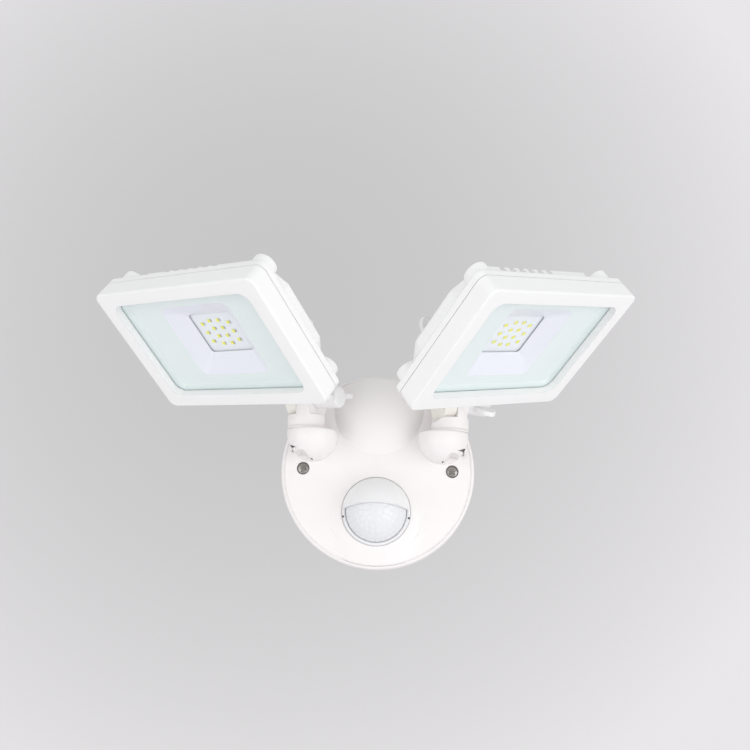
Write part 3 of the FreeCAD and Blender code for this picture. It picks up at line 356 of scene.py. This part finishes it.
# each ring: inset from the frame's opening, level above the middle of the glass, share of the edge colour, which is a
# painted shade darkening the enamel towards the frame
printed = {"opening": (127, 82, 8), "inner": (109, 68, 6), "window": (64, 60, 6), "thick": 0.03,
           "rings": ((0.05, 1.46, 0.85), (0.3, 1.46, 0.85), (0.9, 1.1, 0.3), (1.8, 0.1, 0.12), (2.8, -1.1, 0.05),
                     (3.6, -1.55, 0.02))}


def makePrint(side, settings=printed):
    # the enamel behind the glass: nested rounded outlines; its rim turns up to the front of the glass
    width, height, corner = settings["opening"]
    inset, level, tone = np.array(settings["rings"]).T
    outlines = [(width - 2 * step, height - 2 * step, corner - step) for step in inset]
    outlines += [settings["inner"], settings["window"]]
    rings = np.stack([roundedOutline(*outline) for outline in outlines])
    tone = np.concatenate([tone, (0.0, 0.0)])
    level = np.concatenate([level, (level[-1], level[-1])])[:, None, None]
    faces = []
    for lower in (0.0, settings["thick"]):
        faces.append(np.concatenate([rings, np.broadcast_to(level - lower, rings.shape[:2] + (1,))], -1))
    grid = np.concatenate([faces[0], faces[1][::-1]])
    edgeShades = np.concatenate([tone, tone[::-1]])
    piece = gridPiece(side + "_print", onHead(side, grid), True, True, False)
    # the edge attribute carries each ring's share of the painted shade at the frame
    attribute = piece.data.attributes.new("edge", "FLOAT", "POINT")
    attribute.data.foreach_set("value", np.repeat(edgeShades, grid.shape[1]).astype(np.float32))
    piece.data.materials.append(printEnamel)
    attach(piece, side + "_head")


def enamel(name, colour, shade, edgeShadeColour):
    # pale fired enamel, smooth as the glass that it lies on, greener and darker towards the frame, a painted shade
    # where the glass meets the frame
    tree = Tree(name)
    edge = tree.add("ShaderNodeAttribute", {"attribute_name": "edge"}, {}, "Fac")
    drift = tree.noise(25, 2.0)
    paint = tree.mix(drift, colour, shade)
    colours = tree.mix(edge, paint, edgeShadeColour)
    return tree.surface(tree.principled(Base_Color=colours, Roughness=drift * 0.05 + 0.12))


# the last colour is the painted shade at the frame, a darker green
printEnamel = enamel("printEnamel", rgb(241, 248, 247), rgb(238, 247, 246), rgb(158, 184, 182))


# package, phosphor and pad: width, height, rise and how far they stand to the right
emitters = {"columns": (-12.3, -4.1, 4.1, 12.3), "outer": 7.5, "inner": 6.6, "board": -11.0, "corner": 0.35,
            "bevel": (0.1, 0.12), "package": (3.9, 2.9, 0.4, 0.0), "phosphor": (2.6, 2.5, 0.95, -0.45),
            "pad": (0.8, 2.5, 0.6, 1.2)}


def emitterCentres(settings=emitters):
    # three in an outer column, four in an inner one, each column centred on the board
    outer = settings["outer"] * np.arange(-1, 2)
    inner = settings["inner"] * (np.arange(4) - 1.5)
    rows = (outer, inner, inner, outer)
    columns = [np.stack([np.full(len(row), x), row], -1) for x, row in zip(settings["columns"], rows)]
    return np.concatenate(columns)


def cushions(centres, size, levels, insets, turns=3):
    # for every centre a closed stack of rounded outlines; inset shrinks a ring, both ends close on a middle point
    width, height, corner = size
    outlines = [(width - 2 * inset, height - 2 * inset, max(corner - inset, 0.02), turns) for inset in insets]
    rings = np.stack([roundedOutline(*outline) for outline in outlines])
    heights = np.asarray(levels)[:, None, None] * np.ones(rings.shape[:2] + (1,))
    stack = np.concatenate([rings, heights], -1).reshape(-1, 3)
    stack = np.concatenate([stack, [(0, 0, levels[-1]), (0, 0, levels[0])]])
    points = stack[None] + np.concatenate([centres, np.zeros((len(centres), 1))], -1)[:, None, :]
    count = rings.shape[1]
    first = np.arange(count)
    last = (len(insets) - 1) * count + first
    crown = np.full(count, len(stack) - 2)
    quads = gridFaces(len(insets), count, False, True)[:, ::-1]
    triangles = np.concatenate([np.stack([last, np.roll(last, -1), crown], -1),
                                np.stack([np.roll(first, -1), first, crown + 1], -1)])
    step = len(stack) * np.arange(len(centres))[:, None, None]
    return points.reshape(-1, 3), (quads[None] + step).reshape(-1, 4), (triangles[None] + step).reshape(-1, 3)


def makeEmitters(side, settings=emitters):
    # a white package, its phosphor to the left and its dark contact to the right
    base = settings["board"]
    chamfer, inset = settings["bevel"]
    finishes = {"package": (boardWhite, "lamp_board"), "phosphor": (chipYellow, "phosphor"),
                "pad": (contactGrey, "steel")}
    for part, (material, slot) in finishes.items():
        width, height, rise, shift = settings[part]
        levels = (base, base + rise - chamfer, base + rise)
        points, quads, triangles = cushions(emitterCentres() + (shift, 0), (width, height, settings["corner"]),
                                            levels, (0, 0, inset))
        piece = meshPiece("%s_%s" % (side, part), onHead(side, points), quads.tolist() + triangles.tolist(), False)
        piece.data.materials.append(material)
        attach(piece, side + "_head")
        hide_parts(side + "_led_chips")


contactGrey = mouldedPlastic("contactGrey", rgb(150, 146, 170), rgb(138, 134, 160), 0.35)

# cells: how many facets stand round each row, from the middle outwards
lens = {"centre": (0, -22, -29.5), "radius": 22.75, "wall": 1.4, "back": 1.3, "cells": (1, 9, 16, 22, 28, 34, 40),
        "groove": 0.26, "sharp": 10, "swell": 0.12, "rim": 0.02, "steps": 288, "rings": 60}


def makeLens(settings=lens):
    # a dome of angle a from the axis and b round it, radius - groove * edge^sharp - swell * edge^2, where edge is 1 at
    # the facets' borders and 0 in their middles; closed by a smooth inner wall
    reach = math.acos(settings["back"] / settings["radius"])
    a = np.linspace(0.0, reach, settings["rings"])[:, None]
    b = np.linspace(0, 2 * math.pi, settings["steps"], endpoint=False)[None]
    rows = len(settings["cells"])
    rowPlace = a / reach * rows
    row = np.clip(np.floor(rowPlace), 0, rows - 1)
    columns = np.array(settings["cells"])[row.astype(int)]
    columnPlace = b / (2 * math.pi) * columns + 0.5 * (row % 2)
    rowEdge = np.abs(rowPlace % 1 - 0.5) * 2
    columnEdge = np.where(columns > 1, np.abs(columnPlace % 1 - 0.5) * 2, 0.0)
    edge = np.maximum(rowEdge, columnEdge)
    radius = settings["radius"] - settings["groove"] * edge ** settings["sharp"] - settings["swell"] * edge ** 2
    radius = np.where(rowPlace > rows - settings["rim"], settings["radius"], radius)
    outer = dome(radius, a, b)
    inner = dome(np.full_like(radius, settings["radius"] - settings["wall"]), a, b)
    inner[..., 1] = np.minimum(inner[..., 1], -settings["back"])
    grid = np.concatenate([outer, inner[::-1]]) + np.array(settings["centre"])
    piece = gridPiece("faceted_lens", grid * mm, False, True)
    piece.data.materials.append(lensMilk)
    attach(piece, "sensor")
    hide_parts("fresnel_lens")


def dome(radius, a, b):
    # polar angle a from the direction -y, angle b round it
    across = radius * np.sin(a)
    return np.stack([across * np.cos(b), -radius * np.cos(a) + 0 * b, across * np.sin(b)], -1)


shell = {"centre": (0, -22, -29.5), "radius": 25.0, "wall": 2.1, "back": 10, "ring": 7.4, "edgeMiddle": 5.2,
         "edgeDrop": 3.5, "edgeReach": 23.0, "lip": 0.35, "lipWidth": 1.3, "crowding": 1.6, "rings": 26, "steps": 480}


def hoodEdge(b, settings=shell):
    # the hood's edge is a parabola in x; s is its distance from the axis at the angle b, capped by the ring
    bow = settings["edgeDrop"] / settings["edgeReach"] ** 2 * np.cos(b) ** 2
    rise = np.sin(b)
    s = (np.sqrt(rise ** 2 + 4 * bow * settings["edgeMiddle"]) - rise) / np.maximum(2 * bow, 1e-9)
    s = np.where(np.abs(np.cos(b)) < 0.02, settings["edgeMiddle"], s)
    widest = math.sqrt(settings["radius"] ** 2 - settings["ring"] ** 2)
    return np.arcsin(np.where(rise > 0, np.minimum(s, widest), widest) / settings["radius"])


def makeSensorShell(settings=shell):
    # sphere from the hood's edge back to the open rear; the lip swells by lip * exp(-(distance / lipWidth)^2)
    b = np.linspace(0, 2 * math.pi, settings["steps"], endpoint=False)[None]
    first = hoodEdge(b)
    last = math.acos(-settings["back"] / settings["radius"])
    share = np.linspace(0, 1, settings["rings"])[:, None] ** settings["crowding"]
    a = first + (last - first) * share
    away = (a - first) * settings["radius"] / settings["lipWidth"]
    hooded = np.clip(np.sin(b) * 8, 0, 1)
    outer = settings["radius"] + hooded * settings["lip"] * np.exp(-away ** 2)
    inner = settings["radius"] - settings["wall"] + 0 * a
    grid = np.concatenate([dome(outer, a, b), dome(inner, a, b)[::-1]]) + np.array(settings["centre"])
    piece = gridPiece("sensor_shell", grid * mm, True, True)
    piece.data.materials.append(shellWhite)
    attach(piece, "sensor")
    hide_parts("sensor_ball")


def shaft(centre, direction, outline):
    # rings of an outline (distance along, radius) turned about a direction, closed at both ends
    axis = np.array(direction, float) / np.linalg.norm(direction)
    side = np.cross(axis, (0, 0, 1.0) if abs(axis[2]) < 0.9 else (1.0, 0, 0))
    side = side / np.linalg.norm(side)
    other = np.cross(axis, side)
    turn = np.linspace(0, 2 * math.pi, 32, endpoint=False)
    along, radius = np.array(outline).T
    circle = np.cos(turn)[:, None] * side + np.sin(turn)[:, None] * other
    return np.array(centre) + along[:, None, None] * axis + radius[:, None, None] * circle[None]


# the outlines are pairs of distance along the shaft and radius
pivot = {"centre": (0, -22, -29.5), "dot": (23.5, -29.4, -33.75), "lean": 0.4,
         "stub": ((22.9, 0.0), (22.9, 1.98), (27.3, 1.98), (27.6, 1.68), (27.6, 0.0)),
         "dimple": ((-1.0, 0.0), (-1.0, 0.7), (0.2, 0.7), (0.26, 0.58), (0.12, 0.4), (0.05, 0.0))}


def makePivots(settings=pivot):
    # the two stub shafts in their bearings, and below each a dimple in the ball, coloured dark as painted shade
    for name, sign in zip(sides, (-1, 1)):
        stub = shaft(settings["centre"], (sign, 0, 0), settings["stub"])
        dot = shaft(np.array(settings["dot"]) * (sign, 1, 1), (sign * settings["lean"], -1, 0), settings["dimple"])
        for part, points, material, slot in (("trunnion", stub, shellWhite, "sensor_shell"),
                                             ("pivot_dimple", dot, paintedHoleShade, "steel")):
            piece = gridPiece("%s_%s" % (name, part), points * mm, False, True, False)
            piece.data.materials.append(material)
            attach(piece, "sensor")


# form: half width, height, half length and depth of the raised form that the arcs lie on
rimArc = {"radius": 33.5, "drop": -29.5, "form": (43, 18, 53, 12), "reach": 42, "bead": 0.75, "sink": 0.42,
          "steps": 90, "turns": 16}


def makeRimArcs(settings=rimArc):
    # a bead on a circle round the sensor; the form under it is
    # y = -depth - height * sqrt(1 - (x / width)^2 - (z / tall)^2)
    width, height, tall, depth = settings["form"]
    for name, middle in (("left", math.pi), ("right", 0.0)):
        reach = math.radians(settings["reach"])
        angle = np.linspace(-reach, reach, settings["steps"]) + middle
        x = settings["radius"] * np.cos(angle)
        z = settings["radius"] * np.sin(angle)
        y = -depth - height * np.sqrt(1 - (x / width) ** 2 - (z / tall) ** 2)
        taper = np.sqrt(np.clip(1 - (np.linspace(-1, 1, settings["steps"])) ** 4, 0, 1))
        turn = np.linspace(0, 2 * math.pi, settings["turns"], endpoint=False)
        radial = settings["bead"] * taper[:, None] * np.cos(turn)
        lift = settings["bead"] * taper[:, None] * np.sin(turn)
        grid = np.stack([x[:, None] + radial * np.cos(angle)[:, None], y[:, None] + settings["sink"] + lift,
                         z[:, None] + settings["drop"] + radial * np.sin(angle)[:, None]], -1)
        piece = gridPiece(name + "_rim_arc", grid * mm, False, True)
        piece.data.materials.append(baseCoat)
        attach(piece, "base")


coverScrew = {"radius": 4.3, "crown": 1.1, "side": 1.4, "shank": 2.2, "tip": (1.0, 0.8), "turned": (0.35, 0.9),
              "slotLength": 2.5, "slotWidth": 0.62, "slotDepth": 1.0, "rings": 56, "steps": 160}


def makeCoverScrews(settings=coverScrew):
    # crown * (1 - (r / radius)^2.4) less a cross, which fades with the distance to the nearer of its two bars
    low, high = [np.array(corner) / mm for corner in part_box("cover_screws")]
    radius = settings["radius"]
    turn = np.linspace(0, 2 * math.pi, settings["steps"], endpoint=False)[None]
    r = radius * np.linspace(0, 1, settings["rings"])[:, None]
    edge = low[1] + settings["crown"]
    under = edge + settings["side"]
    shank = settings["shank"]
    point, taper = settings["tip"]
    outline = ((under, radius), (under, shank), (high[1] - point, shank), (high[1], shank - taper), (high[1], 0.0))
    level, size = np.array(outline).T[:, :, None]
    body = np.stack([size * np.cos(turn), level + 0 * turn, size * np.sin(turn)], -1)
    for name, x, lean in zip(sides, (low[0] + radius, high[0] - radius), settings["turned"]):
        u = np.abs(r * np.cos(turn + lean))
        v = np.abs(r * np.sin(turn + lean))
        across = np.minimum(np.maximum(u / settings["slotLength"], v / settings["slotWidth"]),
                            np.maximum(v / settings["slotLength"], u / settings["slotWidth"]))
        cross = np.clip((1.25 - across) / 0.5, 0, 1)
        dent = settings["slotDepth"] * cross ** 2 * (3 - 2 * cross)
        height = settings["crown"] * (1 - (r / radius) ** 2.4) - dent
        head = np.stack([r * np.cos(turn), edge - height, r * np.sin(turn)], -1)
        grid = np.concatenate([head, body]) + (x, 0, (low[2] + high[2]) / 2)
        piece = gridPiece(name + "_cover_screw", grid * mm, False, True)
        piece.data.materials.append(screwSteel)
        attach(piece, "base")
        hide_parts("cover_screws")


screwSteel = plainMetal("screwSteel", rgb(172, 168, 164), rgb(140, 136, 132), 0.3)
# painted shade: a dark grey that stands in for the shade inside the dimples
paintedHoleShade = mouldedPlastic("paintedHoleShade", rgb(70, 68, 70), rgb(60, 58, 60), 0.5)

for side in sides:
    makePrint(side)
    makeEmitters(side)
makeLens()
makeSensorShell()
makePivots()
makeRimArcs()
makeCoverScrews()
print("prints, emitters, lens, sensor shell, arcs and screws ready")


# the backdrop is a floor and a back wall in one sweep, far from the object
studio = {"floor": -1.2, "near": -4.0, "wall": 1.6, "bend": 0.7, "top": 4.0, "width": 8.0, "turns": 24,
          "middle": (-0.29, 0.59), "reach": 1.25, "light": rgb(235, 233, 235), "dark": rgb(201, 200, 201),
          "seen": 0.9, "sky": (0.98, 0.99, 1.0, 1.0), "skyLevel": 0.73}


def paper(name, settings):
    # painted shade: darkest at one point of the wall, paler with the squared distance from it, as falling light would
    # leave it;
    # the camera, gloss and glass see that tone as it is, as a glow
    tree = Tree(name)
    across = tree.add("ShaderNodeSeparateXYZ", {}, {"Vector": tree.place()}, "X") - settings["middle"][0]
    up = tree.add("ShaderNodeSeparateXYZ", {}, {"Vector": tree.place()}, "Z") - settings["middle"][1]
    away = (across * across + up * up) / settings["reach"] ** 2
    tone = tree.mix(away.clamped(), settings["dark"], settings["light"])
    matte = tree.principled(Base_Color=tone, Roughness=0.9)
    plain = tree.add("ShaderNodeEmission", {}, {"Color": tone, "Strength": 1.0})
    camera, gloss, glass = [tree.add("ShaderNodeLightPath", {}, {}, "Is %s Ray" % kind)
                            for kind in ("Camera", "Glossy", "Transmission")]
    seen = (camera + gloss + glass).clamped() * settings["seen"]
    return tree.surface(tree.add("ShaderNodeMixShader", {}, {0: seen, 1: matte, 2: plain}))


def makeBackdrop(settings=studio):
    # profile: a straight floor, a quarter circle of radius bend, a straight wall; swept along x
    angle = np.linspace(0, math.pi / 2, settings["turns"])
    bend = settings["bend"]
    arcY = settings["wall"] - bend + bend * np.sin(angle)
    arcZ = settings["floor"] + bend - bend * np.cos(angle)
    y = np.concatenate(([settings["near"]], arcY, [settings["wall"]]))
    z = np.concatenate(([settings["floor"]], arcZ, [settings["top"]]))
    x = np.linspace(-settings["width"] / 2, settings["width"] / 2, 3)
    grid = np.stack([np.broadcast_to(x[:, None], (len(x), len(y))), np.broadcast_to(y, (len(x), len(y))),
                     np.broadcast_to(z, (len(x), len(z)))], -1)
    backdrop = gridPiece("backdrop", grid)
    backdrop.data.materials.append(paper("backdropPaper", settings))


makeBackdrop()

world = bpy.data.worlds.new("studioWorld")
scene.world = world
world.use_nodes = True
sky = world.node_tree.nodes["Background"]
sky.inputs["Color"].default_value = studio["sky"]
sky.inputs["Strength"].default_value = studio["skyLevel"]

lamps = {
    "right": {"place": (1.4, -1.4, -0.4), "aim": (0, 0, 0.03), "size": 1.6, "power": 15},
    "left": {"place": (-1.4, -1.4, -0.4), "aim": (0, 0, 0.03), "size": 1.6, "power": 9.6},
}


def makeLamp(name, settings):
    data = bpy.data.lights.new(name, "AREA")
    data.size = settings["size"]
    data.energy = settings["power"]
    lamp = bpy.data.objects.new(name, data)
    scene.collection.objects.link(lamp)
    lamp.location = settings["place"]
    towards = Vector(settings["aim"]) - Vector(settings["place"])
    lamp.rotation_euler = towards.to_track_quat("-Z", "Y").to_euler()


for name, settings in lamps.items():
    makeLamp(name, settings)

# the view of the photograph: from below, looking up at the light on its wall
photoView = {"aim": (-0.0046, 0, 0.07586), "distance": 0.82157, "azimuth": 2.12, "elevation": -12.0, "roll": 1.64,
             "lens": 52.0}


def makeCamera(settings=photoView):
    azimuth, elevation, roll = [math.radians(settings[key]) for key in ("azimuth", "elevation", "roll")]
    level = math.cos(elevation)
    back = Vector((math.sin(azimuth) * level, -math.cos(azimuth) * level, math.sin(elevation)))
    right = Vector((math.cos(azimuth), math.sin(azimuth), 0))
    up = back.cross(right)
    axes = (right * math.cos(roll) + up * math.sin(roll), up * math.cos(roll) - right * math.sin(roll), back)
    data = bpy.data.cameras.new("camera")
    data.lens = settings["lens"]
    data.sensor_width = 36
    camera = bpy.data.objects.new("camera", data)
    scene.collection.objects.link(camera)
    turn = Matrix([[axis[row] for axis in axes] for row in range(3)]).to_4x4()
    camera.matrix_world = Matrix.Translation(Vector(settings["aim"]) + back * settings["distance"]) @ turn
    scene.camera = camera


makeCamera()
print("studio ready")

scene.view_settings.view_transform = "Standard"
